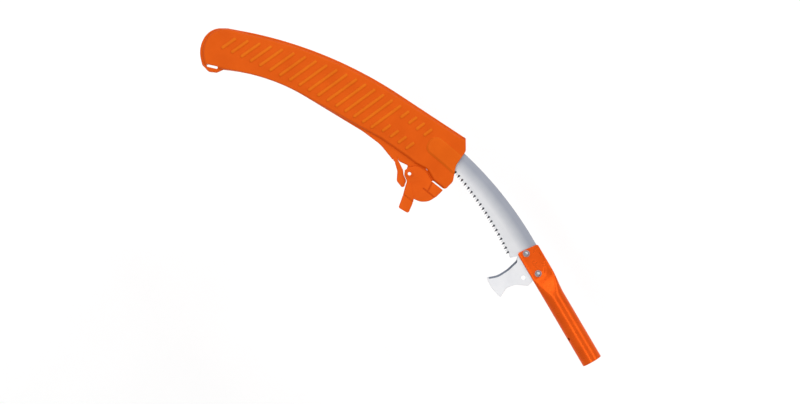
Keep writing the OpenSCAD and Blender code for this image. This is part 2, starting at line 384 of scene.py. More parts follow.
def noise(tree, vector, scale, detail):
    node = tree.nodes.new("ShaderNodeTexNoise")
    node.inputs["Scale"].default_value = scale
    node.inputs["Detail"].default_value = detail
    node.inputs["Roughness"].default_value = 0.5
    tree.links.new(vector, node.inputs["Vector"])
    return node.outputs["Fac"]


def ramp(tree, factor, stops):
    """A colour ramp over (position, colour) stops."""
    node = tree.nodes.new("ShaderNodeValToRGB")
    elements = node.color_ramp.elements
    while len(elements) < len(stops):
        elements.new(0.5)
    for element, (place, colour) in zip(elements, stops):
        element.position = place
        element.color = (*colour, 1)
    tree.links.new(factor, node.inputs["Fac"])
    return node.outputs["Color"]


def spread(tree, value, low, high, start=0.0, end=1.0):
    """Maps a value from low..high to start..end."""
    node = tree.nodes.new("ShaderNodeMapRange")
    for name, number in zip(("From Min", "From Max", "To Min", "To Max"), (low, high, start, end)):
        node.inputs[name].default_value = number
    tree.links.new(value, node.inputs["Value"])
    return node.outputs["Result"]


def multiply(tree, a, b):
    """The product of two colours."""
    node = tree.nodes.new("ShaderNodeMix")
    node.data_type, node.blend_type = "RGBA", "MULTIPLY"
    node.inputs["Factor"].default_value = 1
    colour_a, colour_b, colour_out = node.inputs[6], node.inputs[7], node.outputs[2]
    tree.links.new(a, colour_a)
    tree.links.new(b, colour_b)
    return colour_out


def calculate(tree, operation, *values):
    """A maths node over one value or two."""
    node = tree.nodes.new("ShaderNodeMath")
    node.operation = operation
    for value, socket in zip(values, node.inputs):
        tree.links.new(value, socket)
    return node.outputs["Value"]


def calculate_vector(tree, operation, vector, constant=(0, 0, 0)):
    """The outputs of a vector maths node over a vector and a constant."""
    node = tree.nodes.new("ShaderNodeVectorMath")
    node.operation = operation
    node.inputs[1].default_value = constant
    tree.links.new(vector, node.inputs[0])
    return node.outputs


def coordinates(tree, vector):
    node = tree.nodes.new("ShaderNodeSeparateXYZ")
    tree.links.new(vector, node.inputs[0])
    return node.outputs


def bump(tree, shader, height, depth, strength):
    node = tree.nodes.new("ShaderNodeBump")
    node.inputs["Strength"].default_value = strength
    node.inputs["Distance"].default_value = depth
    tree.links.new(height, node.inputs["Height"])
    tree.links.new(node.outputs["Normal"], shader.inputs["Normal"])


def object_place(tree):
    return tree.nodes.new("ShaderNodeTexCoord").outputs["Object"]


def edge_wear(tree, flat, sharpness, wear_and_painted_highlight):
    """One tint on flat faces and another on edges, which start at a sharpness."""
    edge = tree.nodes.new("ShaderNodeNewGeometry").outputs["Pointiness"]
    return ramp(tree, edge, [(0.5, flat), (sharpness, wear_and_painted_highlight)])


def mottled(tree, vector, scale, detail, dark, light):
    """Noise between two colours."""
    return ramp(tree, noise(tree, vector, scale, detail), [(0.3, dark), (0.7, light)])


def set_roughness(tree, shader, factor, low, high, ends=(0.3, 0.7)):
    """Runs the roughness from low to high as a factor runs between its ends."""
    tree.links.new(spread(tree, factor, *ends, low, high), shader.inputs["Roughness"])


def painted_highlight_crest_mask(tree):
    """Mask for a painted highlight: 0 on the scabbard's body and 1 on the ribs' crests, less on the taller
    screw-head channel.
    """
    body_top, crest_low, crest_high, channel = 0.0087, 0.0094, 0.0098, 0.0104
    size = calculate(tree, "ABSOLUTE", coordinates(tree, object_place(tree))["Z"])
    rise = spread(tree, size, body_top, crest_low)
    fall = spread(tree, size, channel, crest_high, 0.3, 1.0)
    return calculate(tree, "MULTIPLY", rise, fall)


def moulded_plastic(name, dark, light, roughness, tint=ORANGE_SHEEN, crest_painted_highlight=None):
    """Spark-eroded polypropylene: fine grain, faint flow mottling, slightly paler edges from wear, and, when
    a tint is given, a painted highlight on the ribs' crests.
    """
    material, tree, shader = new_material(name)
    place = object_place(tree)
    colour = mottled(tree, place, 38, 3, dark, light)
    worn_colour_and_painted_highlight = multiply(tree, colour, edge_wear(tree, (0.96, 0.96, 0.96), 0.56, (1.0, 1.06, 1.1)))
    if crest_painted_highlight:
        # Painted highlight on the ribs' crests, with a faint painted shade on the body between them.
        wear_and_painted_highlight = ramp(tree, painted_highlight_crest_mask(tree), [(0.0, (0.97, 0.94, 1.0)), (1.0, crest_painted_highlight)])
        worn_colour_and_painted_highlight = multiply(tree, worn_colour_and_painted_highlight, wear_and_painted_highlight)
    tree.links.new(worn_colour_and_painted_highlight, shader.inputs["Base Color"])
    set_roughness(tree, shader, noise(tree, place, 240, 2), roughness - 0.05, roughness + 0.06)
    bump(tree, shader, noise(tree, place, 2600, 2), 0.00004, 0.5)
    shader.inputs["Specular IOR Level"].default_value = 0.3
    shader.inputs["Specular Tint"].default_value = tint
    return material


def enamel(name, dark, light):
    """Glossy stove enamel over steel, with a faint orange-peel surface."""
    material, tree, shader = new_material(name)
    place = object_place(tree)
    colour = mottled(tree, place, 55, 4, dark, light)
    wear = edge_wear(tree, (0.95, 0.95, 0.95), 0.58, (1.03, 1.12, 1.2))
    tree.links.new(multiply(tree, colour, wear), shader.inputs["Base Color"])
    set_roughness(tree, shader, noise(tree, place, 130, 3), 0.24, 0.34)
    bump(tree, shader, noise(tree, place, 420, 1), 0.00003, 0.2)
    shader.inputs["Specular Tint"].default_value = ORANGE_SHEEN
    shader.inputs["Specular IOR Level"].default_value = 0.2
    shader.inputs["Metallic"].default_value = 0.45
    return material


def polar_place(tree):
    """(radius, angle) about the blade's arc centre, so that grinding lines follow the blade."""
    centre, flatten = (ARC[0] * MM, ARC[1] * MM, 0), (1, 1, 0)
    off = calculate_vector(tree, "SUBTRACT", object_place(tree), centre)["Vector"]
    flat = calculate_vector(tree, "MULTIPLY", off, flatten)["Vector"]
    parts = coordinates(tree, flat)
    radius = calculate_vector(tree, "LENGTH", flat)["Value"]
    return radius, calculate(tree, "ARCTAN2", parts["X"], parts["Y"])


def ground_steel(name, light, dark, back_radius):
    """Ground saw steel: fine lines along the blade, and painted shade that makes it darker and bluer towards
    the back.
    """
    material, tree, shader = new_material(name)
    radius, angle = polar_place(tree)
    across, along = 2400, 14
    streaks = tree.nodes.new("ShaderNodeCombineXYZ")
    tree.links.new(spread(tree, radius, 0, 1, 0, across), streaks.inputs["X"])
    tree.links.new(spread(tree, angle, 0, 1, 0, along), streaks.inputs["Y"])
    lines = noise(tree, streaks.outputs[0], 1, 2)
    cloud = mottled(tree, object_place(tree), 60, 3, (0.94, 0.945, 0.955), (1, 1, 1))
    band = 0.03
    # Painted shade: the colour turns darker and bluer towards the blade's back.
    painted_back_shade = spread(tree, radius, back_radius - band, back_radius)
    colour = ramp(tree, painted_back_shade, [(0.0, light), (0.12, light), (0.72, dark), (1.0, dark)])
    fine = ramp(tree, lines, [(0.3, (0.93, 0.93, 0.94)), (0.7, (1, 1, 1))])
    tree.links.new(multiply(tree, multiply(tree, colour, fine), cloud), shader.inputs["Base Color"])
    set_roughness(tree, shader, lines, 0.34, 0.46, (0.2, 0.8))
    bump(tree, shader, lines, 0.00001, 0.4)
    shader.inputs["Metallic"].default_value = 0.9
    return material


def ground_edge(name, colour):
    """The bevels of the teeth and of the sickle, in a dark colour that is painted shade on their sloping
    facets.
    """
    material, tree, shader = new_material(name)
    marks = noise(tree, object_place(tree), 1800, 3)
    low = tuple(c * 0.7 for c in colour)
    tree.links.new(ramp(tree, marks, [(0.3, low), (0.7, colour)]), shader.inputs["Base Color"])
    set_roughness(tree, shader, marks, 0.28, 0.42, (0.2, 0.8))
    shader.inputs["Metallic"].default_value = 1.0
    return material


def zinc(name, light, dark, roughness):
    """Bright zinc plating with faint passivation clouds."""
    material, tree, shader = new_material(name)
    place = object_place(tree)
    tree.links.new(mottled(tree, place, 300, 4, dark, light), shader.inputs["Base Color"])
    set_roughness(tree, shader, noise(tree, place, 900, 3), roughness - 0.06, roughness + 0.08)
    bump(tree, shader, noise(tree, place, 3000, 2), 0.00001, 0.3)
    shader.inputs["Metallic"].default_value = 1.0
    return material


def pale_floor(name):
    material, tree, shader = new_material(name)
    colour = mottled(tree, object_place(tree), 3, 3, (0.95, 0.95, 0.95), (0.98, 0.98, 0.98))
    tree.links.new(colour, shader.inputs["Base Color"])
    shader.inputs["Roughness"].default_value = 0.9
    return material


# The crest tint paints a highlight on the ribs' crests.
PLASTIC = moulded_plastic("orange_polypropylene", (0.62, 0.080, 0.003), (0.68, 0.093, 0.004), 0.46,
                          crest_painted_highlight=(1.0, 1.42, 1.3))
LATCH_PLASTIC = moulded_plastic("orange_latch_plastic", (0.62, 0.076, 0.004), (0.68, 0.089, 0.005), 0.42)
PAINT = enamel("orange_enamel", (0.68, 0.080, 0.006), (0.76, 0.095, 0.008))
# The dark colour towards the back of each steel is painted shade.
BLADE_STEEL = ground_steel("ground_blade_steel", (0.61, 0.61, 0.62), (0.31, 0.325, 0.37), BACK_R * MM)
SICKLE_STEEL = ground_steel("ground_sickle_steel", (0.66, 0.66, 0.67), (0.60, 0.61, 0.64), BACK_R * MM)
# The bevels' dark colours are painted shade.
TOOTH_BEVEL = ground_edge("tooth_bevel_painted_shade", (0.13, 0.14, 0.16))
SICKLE_BEVEL = ground_edge("sickle_bevel_painted_shade", (0.16, 0.18, 0.22))
ZINC = zinc("zinc_plate", (0.44, 0.45, 0.48), (0.32, 0.33, 0.36), 0.3)
NYLON = moulded_plastic("nylon_ring", (0.42, 0.45, 0.50), (0.50, 0.53, 0.58), 0.5, (1, 1, 1, 1))


# ---- pole socket ----

TUBE_R, TUBE_WALL = 15.0, 2.0
# The flattened end: half its thickness and half its width, how far its middle lies off the axis.
FORK_HALF, PRESSED_H, PRESSED_W, FORK_SHIFT = 4.0, 5.15, 16.5, -1.5
FORK_LOW, FORK_HIGH, FORK_END, FORK_CORNER = -18.0, 15.0, 192.5, 4.2
PRESS_START, PRESS_END = 108.0, 147.0
DIE_FOOT, DIE_SKEW, DIE_SLOPE = 145.0, 1.45, 0.64
BUTTON_X, BUTTON_R, BUTTON_TURN = 46.0, 2.75, radians(25)
TUBE_STEPS = 128


def press_limit(x, y):
    """Height of the press die over the tube: a ramp whose foot lies further on along the closed fold."""
    foot = DIE_FOOT + DIE_SKEW * np.maximum(0, -3.0 - y)
    return FORK_HALF + DIE_SLOPE * np.maximum(0, foot - x)


def socket_ring(x, wall):
    """The socket's cross-section at x, as sideways places and heights, less a wall."""
    t = float(smooth((x - PRESS_START) / (PRESS_END - PRESS_START)))
    half_w = TUBE_R + (PRESSED_W - TUBE_R) * t - wall
    half_h = TUBE_R + (PRESSED_H - TUBE_R) * t - wall
    power = 2 / (2 + 2.6 * t)  # from a circle to a rounded box
    a = np.arange(TUBE_STEPS) * 2 * pi / TUBE_STEPS
    y = FORK_SHIFT * t + half_w * np.sign(np.cos(a)) * np.abs(np.cos(a)) ** power
    z = half_h * np.abs(np.sin(a)) ** power
    limit = press_limit(x, y) - wall
    soft = 1.1  # the rounding where the die's face meets the tube
    h = np.clip(0.5 + 0.5 * (limit - z) / soft, 0, 1)
    z = limit * (1 - h) + z * h - soft * h * (1 - h)
    return y, np.maximum(z, 0) * np.sign(np.round(np.sin(a), 9))


def socket_loft(name, places, wall):
    """A closed solid through the cross-sections at (x, extra inset) places."""
    solid = Solid()
    rings = []
    for x, less in places:
        y, z = socket_ring(x, wall + less)
        start = len(solid.points)
        solid.points.extend((x, b, c) for b, c in zip(y, z))
        rings.append(list(range(start, len(solid.points))))
    for a, b in zip(rings, rings[1:]):
        solid.band(a, b)
    solid.face(rings[0])
    solid.face(rings[-1])
    return new_object(name, solid)


def screw_holes(low, high):
    """The cutters for the two clamp screws."""
    return [prism(circle(p, SCREW_HOLE_R), low, high) for p in (FRONT_SCREW, REAR_SCREW)]


def turned_cylinder(origin, axis, r, length, steps=40):
    """A cutter along any axis."""
    axis = Vector(axis).normalized()
    side = axis.orthogonal().normalized()
    up = axis.cross(side)
    solid = Solid()
    for end in (0, length):
        for k in range(steps):
            a = 2 * pi * k / steps
            p = Vector(origin) + axis * end + (side * cos(a) + up * sin(a)) * r
            solid.points.append(tuple(p))
    solid.band(list(range(steps)), list(range(steps, 2 * steps)))
    solid.face(range(steps))
    solid.face(range(steps, 2 * steps))
    return new_object("cutter", solid)


def fork_trim():
    """The cutter that leaves the fork its end corners."""
    low, high = FORK_LOW - 0.3, FORK_HIGH + 0.3
    corners = rounded_parts([(150, low, 0), (FORK_END - 3.5, low, FORK_CORNER),
                             (FORK_END, high, FORK_CORNER), (150, high, 0)])
    beyond = np.array([[178, high], [178, 30], [205, 30], [205, -30], [178, -30], [178, low]])
    return prism(np.concatenate([corners[1], corners[2], beyond]), -12, 12)


def pole_socket():
    """The tube: round at the pole's end, pressed flat and slotted at the blade's."""
    along = np.concatenate([np.linspace(0.6, 100, 26), np.linspace(102, 172, 71), np.linspace(174, 194, 11)])
    lip = [(0, 0.5), (0.08, 0.3), (0.28, 0.09)]
    outer = socket_loft("socket", lip + [(x, 0) for x in along], 0)
    deep = np.concatenate([[-1, 60], np.linspace(100, 150, 26)])
    bore = socket_loft("cutter", [(x, 0) for x in deep], TUBE_WALL)
    flare = turned_cylinder((-1, 0, 0), (1, 0, 0), TUBE_R - TUBE_WALL + 0.35, 1.3, TUBE_STEPS)
    slot = prism(np.array([[141, -16], [200, -16], [200, 30], [141, 30]], float), -2.0, 1.8)
    trim = fork_trim()
    hole_axis = (0, cos(BUTTON_TURN), sin(BUTTON_TURN))
    button = turned_cylinder((BUTTON_X, 0, 0), hole_axis, BUTTON_R, 20)
    combine(outer, [bore, flare, slot, trim, button, *screw_holes(-9, 9)])
    finish_piece(outer, "socket_pressed_tube", "pole_socket", "head", [PAINT], 35)


# ---- blade and sickle ----

BLADE_T, BLADE_TAPER, TAPER_START = 1.8, 0.3, 520
TOOTH_PITCH, TOOTH_DEPTH, TIP_ANGLE = 3.7, 2.8, 36.0
# How far a tooth's ground facet and a gullet's slope back from one face to the other.
TOOTH_BEVEL_DEPTH, GULLET_BEVEL = 6.0, 1.4


def tooth_r(angle):
    """The tooth line's radius about the arc's centre, which grows along the blade."""
    at_heel, growth = 508.5, 0.82
    return at_heel + growth * angle


def blade_height(xy):
    """The front face thins slightly towards the back."""
    r = np.linalg.norm(xy - ARC, axis=1)
    return BLADE_T - BLADE_TAPER * smooth((r - TAPER_START) / (BACK_R - TAPER_START))


def tooth_line(teeth_end):
    """(points, front bevels, rear bevels) of the teeth, ground on the two faces in turn."""
    count = floor(teeth_end * pi / 180 * tooth_r(TIP_ANGLE / 2) / TOOTH_PITCH)
    step = teeth_end / count
    points, front, rear = [], [], []
    for i in range(count):
        start, tip = i * step, (i + 0.4) * step
        points += [arc_point(tooth_r(start) + TOOTH_DEPTH, start), arc_point(tooth_r(tip), tip)]
        front += [GULLET_BEVEL, TOOTH_BEVEL_DEPTH * (1 - i % 2)]
        rear += [GULLET_BEVEL, TOOTH_BEVEL_DEPTH * (i % 2)]
    return points, front, rear


def blade_edge(first, last, teeth_end):
    """The rest of the blade's outline, from the last tooth round the tip, the back and the tang."""
    tip_run, tip_r = 2.6, tooth_r(teeth_end)
    nose = [arc_point(tip_r + (BACK_R - tip_r) * sin(t), TIP_ANGLE - tip_run * (1 - cos(t)))
            for t in np.linspace(0, pi / 2, 13)]
    back = [arc_point(BACK_R, a) for a in np.arange(TIP_ANGLE - tip_run - 1, -4.5, -1)]
    tang = [(151, -13.5, 4), (143, 3, 6), (152, 12.5, 6), (187, 12.5, 3), (192, 27, 1)]
    rest = [(*last, 0)] + [(*p, 0) for p in nose + back] + tang + [(*first, 0)]
    return np.concatenate(rounded_parts(rest)[1:-1])


def saw_blade():
    """The blade: bevelled teeth, and softened edges elsewhere."""
    teeth_end = TIP_ANGLE - 0.5
    points, front, rear = tooth_line(teeth_end)
    edge = blade_edge(points[0], points[-1], teeth_end)
    loop = np.concatenate([np.array(points), edge])
    front = np.array(front + [0.0] * len(edge))
    rear = np.array(rear + [0.0] * len(edge))
    plain = np.array([0.0] * len(points) + [1.0] * len(edge))
    order = counter_clockwise(loop)
    if order is not loop:
        loop, front, rear, plain = order, front[::-1], rear[::-1], plain[::-1]
    radial = (loop - ARC) / np.linalg.norm(loop - ARC, axis=1)[:, None]
    mitre = normals(loop)
    solid = Solid()
    rings = []
    for z, chamfer in ((0.0, 0.15), (0.15, 0.0), (BLADE_T - 0.2, 0.0), (BLADE_T, 0.2)):
        share = z / BLADE_T
        bevel = front * share + rear * (1 - share)
        xy = loop + radial * bevel[:, None] + mitre * (chamfer * plain)[:, None]
        rings.append(solid.add(xy, z - BLADE_T + blade_height(xy) if z > BLADE_T / 2 else z))
    marks = [1 if not plain[i] or not plain[(i + 1) % len(loop)] else 0 for i in range(len(loop))]
    for low, high in zip(rings, rings[1:]):
        solid.band(low, high, marks)
    grid = np.array([arc_point(r, a) for r in (516, 522, 528, 534, 540, 546, 551)
                     for a in np.arange(-4, TIP_ANGLE, 1.0)])
    grid = grid[inside(grid, loop) & (distance(grid, loop, True) > 1.5)]
    solid.cap(rings[0])
    solid.cap(rings[-1], grid, blade_height)
    blade = new_object("blade", solid)
    combine(blade, screw_holes(-3, 5))
    finish_piece(blade, "blade_ground_toothed", "saw_blade", "head",
                 [BLADE_STEEL, TOOTH_BEVEL], 12)


SICKLE = [(144, -5, 5), (190, -5, 5), (189.5, 15, 4), (183.6, 22, 6), (179.6, 40, 30), (179.2, 56, 25),
          (184.6, 71.6, 0.6), (168, 73.3, 40), (149.3, 68.6, 0.8), (156.5, 54, 9), (154, 40, 22),
          (143, 25, 4), (146, 14, 3)]
SICKLE_EDGE = [(189, 17), (184.2, 22), (180.2, 40), (179.6, 56), (184.6, 71.6)]
SICKLE_HOLE, SICKLE_HOLE_R = np.array([157.0, 25.0]), 3.25


def sickle_plate():
    """The sickle plate, with a bevel w that fades in and out along its inner edge."""
    loop = split(rounded(SICKLE), 2.5)
    near = distance(loop, np.array(SICKLE_EDGE, float)) < 1.6
    y = loop[:, 1]
    w = np.where(near & (loop[:, 0] > 176), smooth((y - 17) / 7) * smooth((72 - y) / 5), 0)
    width = 2.9 * w + 0.3 * (1 - w)
    solid = Solid()
    rings = [solid.add(inset(loop, 0.25), -2.0),
             solid.add(loop, -1.75 - 0.15 * w),
             solid.add(loop, -0.3 - 1.35 * w),
             solid.add(inset(loop, width), 0.0)]
    marks = [1 if w[i] > 0.3 and w[(i + 1) % len(w)] > 0.3 else 0 for i in range(len(w))]
    solid.band(rings[0], rings[1])
    solid.band(rings[1], rings[2], marks)
    solid.band(rings[2], rings[3], marks)
    solid.cap(rings[0])
    solid.cap(rings[3])
    sickle = new_object("sickle", solid)
    combine(sickle, [*screw_holes(-3, 2), prism(circle(SICKLE_HOLE, SICKLE_HOLE_R), -3, 2)])
    finish_piece(sickle, "sickle_ground_plate", "sickle_plate", "head",
                 [SICKLE_STEEL, SICKLE_BEVEL], 14)


# ---- fasteners ----

SEAT, HEAD_R, HEAD_H, THREAD_R, SCREW_END = 5.0, 4.4, 2.9, 2.5, -11.3
SOCKET_HALF, WASHER_R, WASHER_HOLE_R, WASHER_T = 1.5, 5.0, 2.65, 1
NUT_HALF, NUT_COLLAR_R = 4.0, 3.72


def clamp_screw(name, node, centre):
    """A button-head screw with a hexagon socket and one groove of thread at its end."""
    dome_r = (HEAD_R ** 2 + HEAD_H ** 2) / (2 * HEAD_H)
    dome_z = SEAT + HEAD_H - dome_r
    profile = [(0, SCREW_END), (1.9, SCREW_END), (2.3, -11.0), (THREAD_R, -10.75), (THREAD_R, -10.6),
               (2.2, -10.4), (THREAD_R, -10.2), (THREAD_R, -10.0), (THREAD_R, SEAT - 0.02),
               (4.1, SEAT - 0.02), (HEAD_R, SEAT + 0.1)]
    profile += [(r, dome_z + sqrt(dome_r ** 2 - r ** 2)) for r in (4.34, 4.2, 3.9, 3.5, 3.0, 2.5, 2.1)]
    rim = dome_z + sqrt(dome_r ** 2 - 1.85 ** 2)
    profile += [(hexagon(SOCKET_HALF + 0.12), rim), (hexagon(SOCKET_HALF), rim - 0.12),
                (hexagon(SOCKET_HALF), SEAT + 1.0), (0, SEAT + 0.8)]
    screw = lathe("screw", centre, profile, closed=False)
    finish_piece(screw, name, node, "head", [ZINC], 28)


def washer(name, node, centre, low):
    """A flat washer that lies on a height, with softened edges."""
    high = low + WASHER_T
    bore = [(WASHER_HOLE_R + 0.1, high), (WASHER_HOLE_R, high - 0.1)]
    profile = [(WASHER_HOLE_R, low + 0.1), (WASHER_HOLE_R + 0.1, low), (WASHER_R - 0.2, low),
               (WASHER_R, low + 0.18), (WASHER_R, high - 0.18), (WASHER_R - 0.2, high)] + bore
    finish_piece(lathe("washer", centre, profile), name, node, "head", [ZINC], 28)


def lock_nut(name, node, centre):
    """A hexagon nut with chamfered corners and a collar that holds a nylon ring."""
    steel = [(THREAD_R, -5.3), (2.8, -5.0), (3.8, -5.0), (hexagon(NUT_HALF, 4.05), -5.12),
             (hexagon(NUT_HALF), -5.5), (hexagon(NUT_HALF), -8.0), (hexagon(NUT_HALF, 4.0), -8.45),
             (NUT_COLLAR_R, -8.6), (NUT_COLLAR_R, -9.5), (3.6, -9.85), (3.3, -10.0)]
    ring = [(3.05, -9.95), (3.0, -9.7), (2.55, -9.6)]
    bore = [(THREAD_R, -9.0)]
    marks = [0] * len(steel) + [1] * len(ring) + [0] * len(bore)
    nut = lathe("nut", centre, steel + ring + bore, marks=marks)
    finish_piece(nut, name, node, "head", [ZINC, NYLON], 28)


def fasteners():
    for side, centre in (("front", FRONT_SCREW), ("rear", REAR_SCREW)):
        clamp_screw(side + "_screw_button_head", side + "_clamp_screw", centre)
        washer(side + "_washer_under_head", side + "_head_washer", centre, 4.0)
        washer(side + "_washer_under_nut", side + "_nut_washer", centre, -5.0)
        lock_nut(side + "_nut_nylon_lock", side + "_lock_nut", centre)


# ---- scabbard shells ----

FLANGE_HALF, BODY_HALF = 4.0, 8.5
EDGE_R, SHOULDER, CROWN, CROWN_REACH = 0.9, 3.4, 0.5, 16.0
MOUTH_R, CHANNEL_SLOPE, CHANNEL_SKIRT, SEAM = 0.5, 3.6, 5.0, 0.25
RIM = 2.5
# The top edge is an arc.
TOP_C, TOP_R = np.array([205.0, 610.0]), 628
# Radii of the ribs' ends about the same centre. The flank is the sloping part of a rib's reach.
RIB_TOP, RIB_FOOT, RIB_LEAN = 614.0, 571.0, 4.7
RIB_H, RIB_REACH, RIB_FLANK = 1.2, 3.0, 1.5
# How far apart the outer face's points lie.
EDGE_PITCH, CHANNEL_PITCH, GRID_PITCH = 1.6, 1.5, 2.6

# Outlines as (x, y, corner radius).
MOUTH = [(376.5, -5.5, 2), (360, 4, 7), (349.5, 27, 12), (331, 43, 9), (326.8, 59.2, 5)]
TIP = [(665.5, 273.5, 5), (691, 265.5, 41), (706, 235.5, 28.5), (692.5, 213.5, 0)]
TOP = [(TOP_C[0] + TOP_R * sin(radians(a)), TOP_C[1] - TOP_R * cos(radians(a)), 0)
       for a in np.arange(48, 25.9, -1)]
# The end of the body's top edge at the mouth, which keeps the rim's width there.
BODY_TOP_END = (379.1, -1.7, 0)
BODY_LOW = [(347, 67, 5), (366, 67, 12), (381, 76.5, 10), (396.5, 82.8, 4), (439, 102.3, 20),
            (468, 120, 40), (604.8, 200.5, 330), (640, 247, 30)]
LUG = [(*(PIVOT + 7.5 * np.array([cos(a), sin(a)])), 0) for a in np.radians(np.linspace(201, 9, 22))]
FLANGE_LOW = ([(347, 67, 3), (349, 75, 3), (364, 79.7, 3)] + LUG
              + [(385, 87.8, 2), (396.5, 95.5, 0), (401, 96, 0), (404.5, 103, 1), (432, 107, 60),
                 (462, 119.6, 60), (604.8, 196.7, 280), (643.8, 250.5, 0), (645, 261, 4), (652, 270.5, 6)])


def outline_parts(low, tip, top):
    """(whole loop, path without the mouth) of an outline that starts with the mouth's corners."""
    parts = rounded_parts(MOUTH + low + tip + top)
    n = len(MOUTH)
    side = np.concatenate([parts[n - 1][-1:], *parts[n:], parts[0][:1]])
    return np.concatenate(parts), side


FLANGE_LOOP, FLANGE_SIDE = outline_parts(FLANGE_LOW, TIP, TOP)
BODY_LOOP, BODY_SIDE = outline_parts(
    BODY_LOW, [(x - RIM, y - 1.2 * RIM, r) for x, y, r in TIP],
    [(x - 1, y + RIM, 0) for x, y, r in TOP] + [BODY_TOP_END])
MOUTH_PATH = np.concatenate(rounded_parts(MOUTH + FLANGE_LOW[:1] + TOP[-1:])[:len(MOUTH)])


def rib_end(x, r):
    """A rib's end at a radius about the top arc's centre, leaning with the others."""
    x = x + RIB_LEAN * (r - RIB_FOOT) / (RIB_TOP - RIB_FOOT)
    return np.array([x, TOP_C[1] - sqrt(r * r - (x - TOP_C[0]) ** 2)])


def ribs():
    """The two ends of each rib: full ones that shorten towards the tip, and short pairs by the latch."""
    first, pitch, short = 461.0, 13.25, 11.0
    full, pairs, even, closing, deepest, rise = 17, 4, 12, 1.1, 566, 0.13
    out = []
    for i in range(full):
        x = first + i * pitch - closing * max(0, i - even)
        out.append((rib_end(x, RIB_TOP), rib_end(x, deepest + rise * i * i)))
    for i in range(1, pairs + 1):
        x = first - i * pitch
        out.append((rib_end(x, RIB_TOP), rib_end(x, RIB_TOP - short)))
        out.append((rib_end(x, RIB_FOOT + short), rib_end(x, RIB_FOOT)))
    return out


def channel_loop(grow):
    """The outline of the channel that clears the screw heads, grown by a wall."""
    half, r = 9.5 + grow, 534.5
    end = 21.7 + grow / 10
    inner = [(*arc_point(r - half, a), 0) for a in range(10, 19, 2)]
    outer = [(*arc_point(r + half, a), 0) for a in range(18, 9, -2)]
    near, far = arc_point(r - half, end), arc_point(r + half, end)
    return rounded(inner + [(*near, half * 0.9), (*far, half * 0.9)] + outer)


def space_loop():
    """The space that the blade slides in."""
    drawn, under_teeth, over_back, wide_from, widening = 21.5, 4, 7, 34, 0.75
    lower = [arc_point(tooth_r(a - drawn) - under_teeth, a) for a in range(24, 59, 2)]
    upper = [arc_point(BACK_R + over_back + max(0, a - wide_from) * widening, a) for a in range(58, 25, -2)]
    return np.array([arc_point(500, 12), arc_point(500, 20.3), arc_point(504, 21.6)] + lower + upper
                    + [arc_point(BACK_R + over_back, a) for a in (22, 17, 12)])


def body_region():
    """The body's outline carried past the mouth, so that the mouth's own edge counts as inside."""
    loop = counter_clockwise(np.concatenate([MOUTH_PATH, BODY_SIDE[1:-1]]))
    return np.where((distance(loop, MOUTH_PATH) < 0.01)[:, None], loop - normals(loop) * 3.0, loop)


BODY_REGION = body_region()
CHANNEL_FOOT = channel_loop(CHANNEL_SKIRT)


def shell_height(xy, channel_top):
    """The outer face's height above the parting plane."""
    z = FLANGE_HALF - EDGE_R + EDGE_R * quarter(distance(xy, FLANGE_SIDE) / EDGE_R)
    depth = np.where(inside(xy, BODY_REGION), distance(xy, BODY_SIDE), 0)
    z += (BODY_HALF - FLANGE_HALF - CROWN) * quarter(depth / SHOULDER) + CROWN * quarter(depth / CROWN_REACH)
    in_channel = np.where(inside(xy, CHANNEL_FOOT), distance(xy, CHANNEL_FOOT, True), 0)
    z += (channel_top - BODY_HALF) * smooth(in_channel / CHANNEL_SLOPE)
    rib = np.full(len(xy), 99.0)
    for a, b in ribs():
        rib = np.minimum(rib, distance(xy, np.array([a, b])))
    z += RIB_H * smooth((RIB_REACH - rib) / RIB_FLANK)
    z -= MOUTH_R * (1 - quarter(distance(xy, MOUTH_PATH) / MOUTH_R))
    return z


def rings_inside(loop, depths, pitch):
    """Points on inset copies of a loop, less those that a corner folded over."""
    out = []
    for d in depths:
        ring = inset(split(loop, pitch), d)
        ring = ring[inside(ring, loop)]
        out.append(ring[distance(ring, loop, True) > 0.96 * d])
    return out


def feature_points():
    """Points along the shell's edges, the body's shoulder, the channel's slope and the ribs' flanks."""
    sets = rings_inside(SHELL_LOOP, (0.08, 0.25, 0.5, 0.9, 1.3), EDGE_PITCH)
    body = counter_clockwise(BODY_LOOP)
    sets += rings_inside(body, (0.06, 0.25, 0.6, 1.1, 1.8, 2.6, 3.4, 5), EDGE_PITCH)
    sets.append(inset(split(body, EDGE_PITCH), -0.12))
    sets.append(split(CHANNEL_FOOT, CHANNEL_PITCH))
    sets += rings_inside(CHANNEL_FOOT, (0.7, 1.4, 2.2, 2.9, CHANNEL_SLOPE), CHANNEL_PITCH)
    along = 2.0
    for a, b in ribs():
        sets.append(split(np.array([a, b]), along, False))
        for d in RIB_REACH - RIB_FLANK * np.array([1.0, 0.75, 0.5, 0.25, 0.0]):
            sets.append(split(bar(a, b, 2 * d, 8), along))
    return np.concatenate(sets)


def plain_grid():
    """A staggered grid over the shell, clear of its edge."""
    grid_x, grid_y = np.meshgrid(np.arange(325, 705, GRID_PITCH), np.arange(-8, 276, GRID_PITCH))
    grid_x = grid_x + (np.arange(grid_x.shape[0]) % 2)[:, None] * GRID_PITCH / 2
    grid = np.stack([grid_x.ravel(), grid_y.ravel()], 1)
    grid = grid[inside(grid, SHELL_LOOP)]
    return grid[distance(grid, SHELL_LOOP, True) > 1.5]


